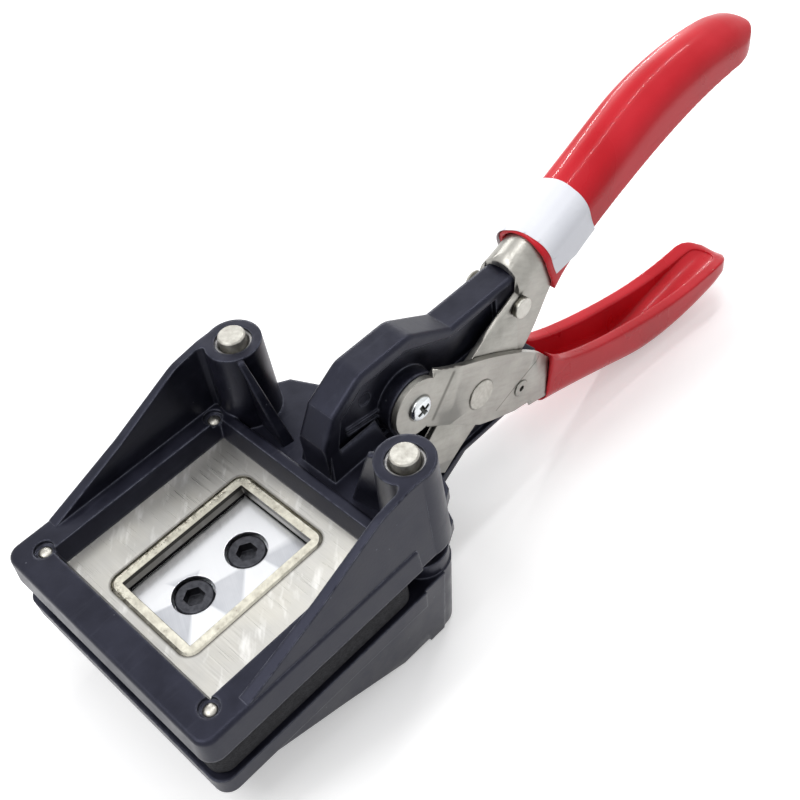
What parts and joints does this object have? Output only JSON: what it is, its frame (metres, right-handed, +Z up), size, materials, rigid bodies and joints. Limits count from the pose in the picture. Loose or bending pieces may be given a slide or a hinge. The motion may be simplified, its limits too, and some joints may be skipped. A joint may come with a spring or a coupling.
{
  "type": "photo punch",
  "caption": "Hand-held photo punch: plier handles close a spring-opened upper jaw with a rectangular die over a fixed punch and foam pad.",
  "frame": {"origin": "centre of the die opening, on the die plate's upper face", "axes": "+X to the right across the head, +Y back towards the handles, +Z up out of the die opening"},
  "size_m": [0.0652, 0.2072, 0.0874],
  "materials": {
    "black_paint": "semi-gloss blue-black paint on a die casting",
    "ground_steel": "ground and polished tool steel with fine swirls",
    "ring_brass": "ground steel ring with a straw tint and burnished specks",
    "black_oxide": "black oxide",
    "foam": "closed-cell foam rubber, matt black",
    "nickel_steel": "satin nickel-plated pressed steel",
    "pin_steel": "turned steel, dull ends",
    "bush_steel": "turned steel bush",
    "bright_zinc": "bright zinc plate",
    "spring_steel": "oiled spring wire",
    "red_vinyl": "dipped glossy red vinyl",
    "label_film": "white paper-backed film"
  },
  "bodies": {
    "lower_jaw": {"lower_jaw": "black_paint", "punch_block": "ground_steel", "punch_screws": "black_oxide", "foam_pad": "foam", "post_left": "pin_steel", "post_right": "pin_steel", "jaw_pivot_pin": "pin_steel", "return_spring": "spring_steel"},
    "upper_jaw": {"upper_jaw": "black_paint", "die_plate": "ground_steel", "die_ring": "ring_brass", "die_rivets": "pin_steel", "bush_left": "bush_steel", "bush_right": "bush_steel"},
    "upper_handle": {"upper_handle": "nickel_steel", "upper_grip": "red_vinyl", "size_label": "label_film", "main_pin": "pin_steel", "pivot_spacer": "pin_steel", "slide_pin": "pin_steel"},
    "lower_handle": {"lower_handle": "nickel_steel", "lower_grip": "red_vinyl", "pivot_sleeve": "pin_steel", "pivot_screw": "bright_zinc", "stop_rivet": "pin_steel"}
  },
  "joints": [
    {"name": "upper_handle_hinge", "type": "hinge", "parent": "lower_jaw", "child": "upper_handle", "pos_m": [0, 0.0522, -0.0181], "axis": [-1, 0, 0], "range_deg": [0, 6], "stiffness_Nm_per_rad": 1.5, "springref_deg": -20.05},
    {"name": "lower_handle_hinge", "type": "hinge", "parent": "upper_handle", "child": "lower_handle", "pos_m": [0, 0.0707, -0.0061], "axis": [1, 0, 0], "range_deg": [0, 12]},
    {"name": "jaw_slide", "type": "slide", "parent": "lower_jaw", "child": "upper_jaw", "axis": [0, 0, -1], "range_m": [0, 0.004], "deforming": ["foam_pad", "return_spring"]}
  ],
  "couplings": [
    {"joint": "lower_handle_hinge", "follows": "upper_handle_hinge", "ratio": 2},
    {"joint": "jaw_slide", "follows": "upper_handle_hinge", "m_per_rad": 0.038188}
  ]
}
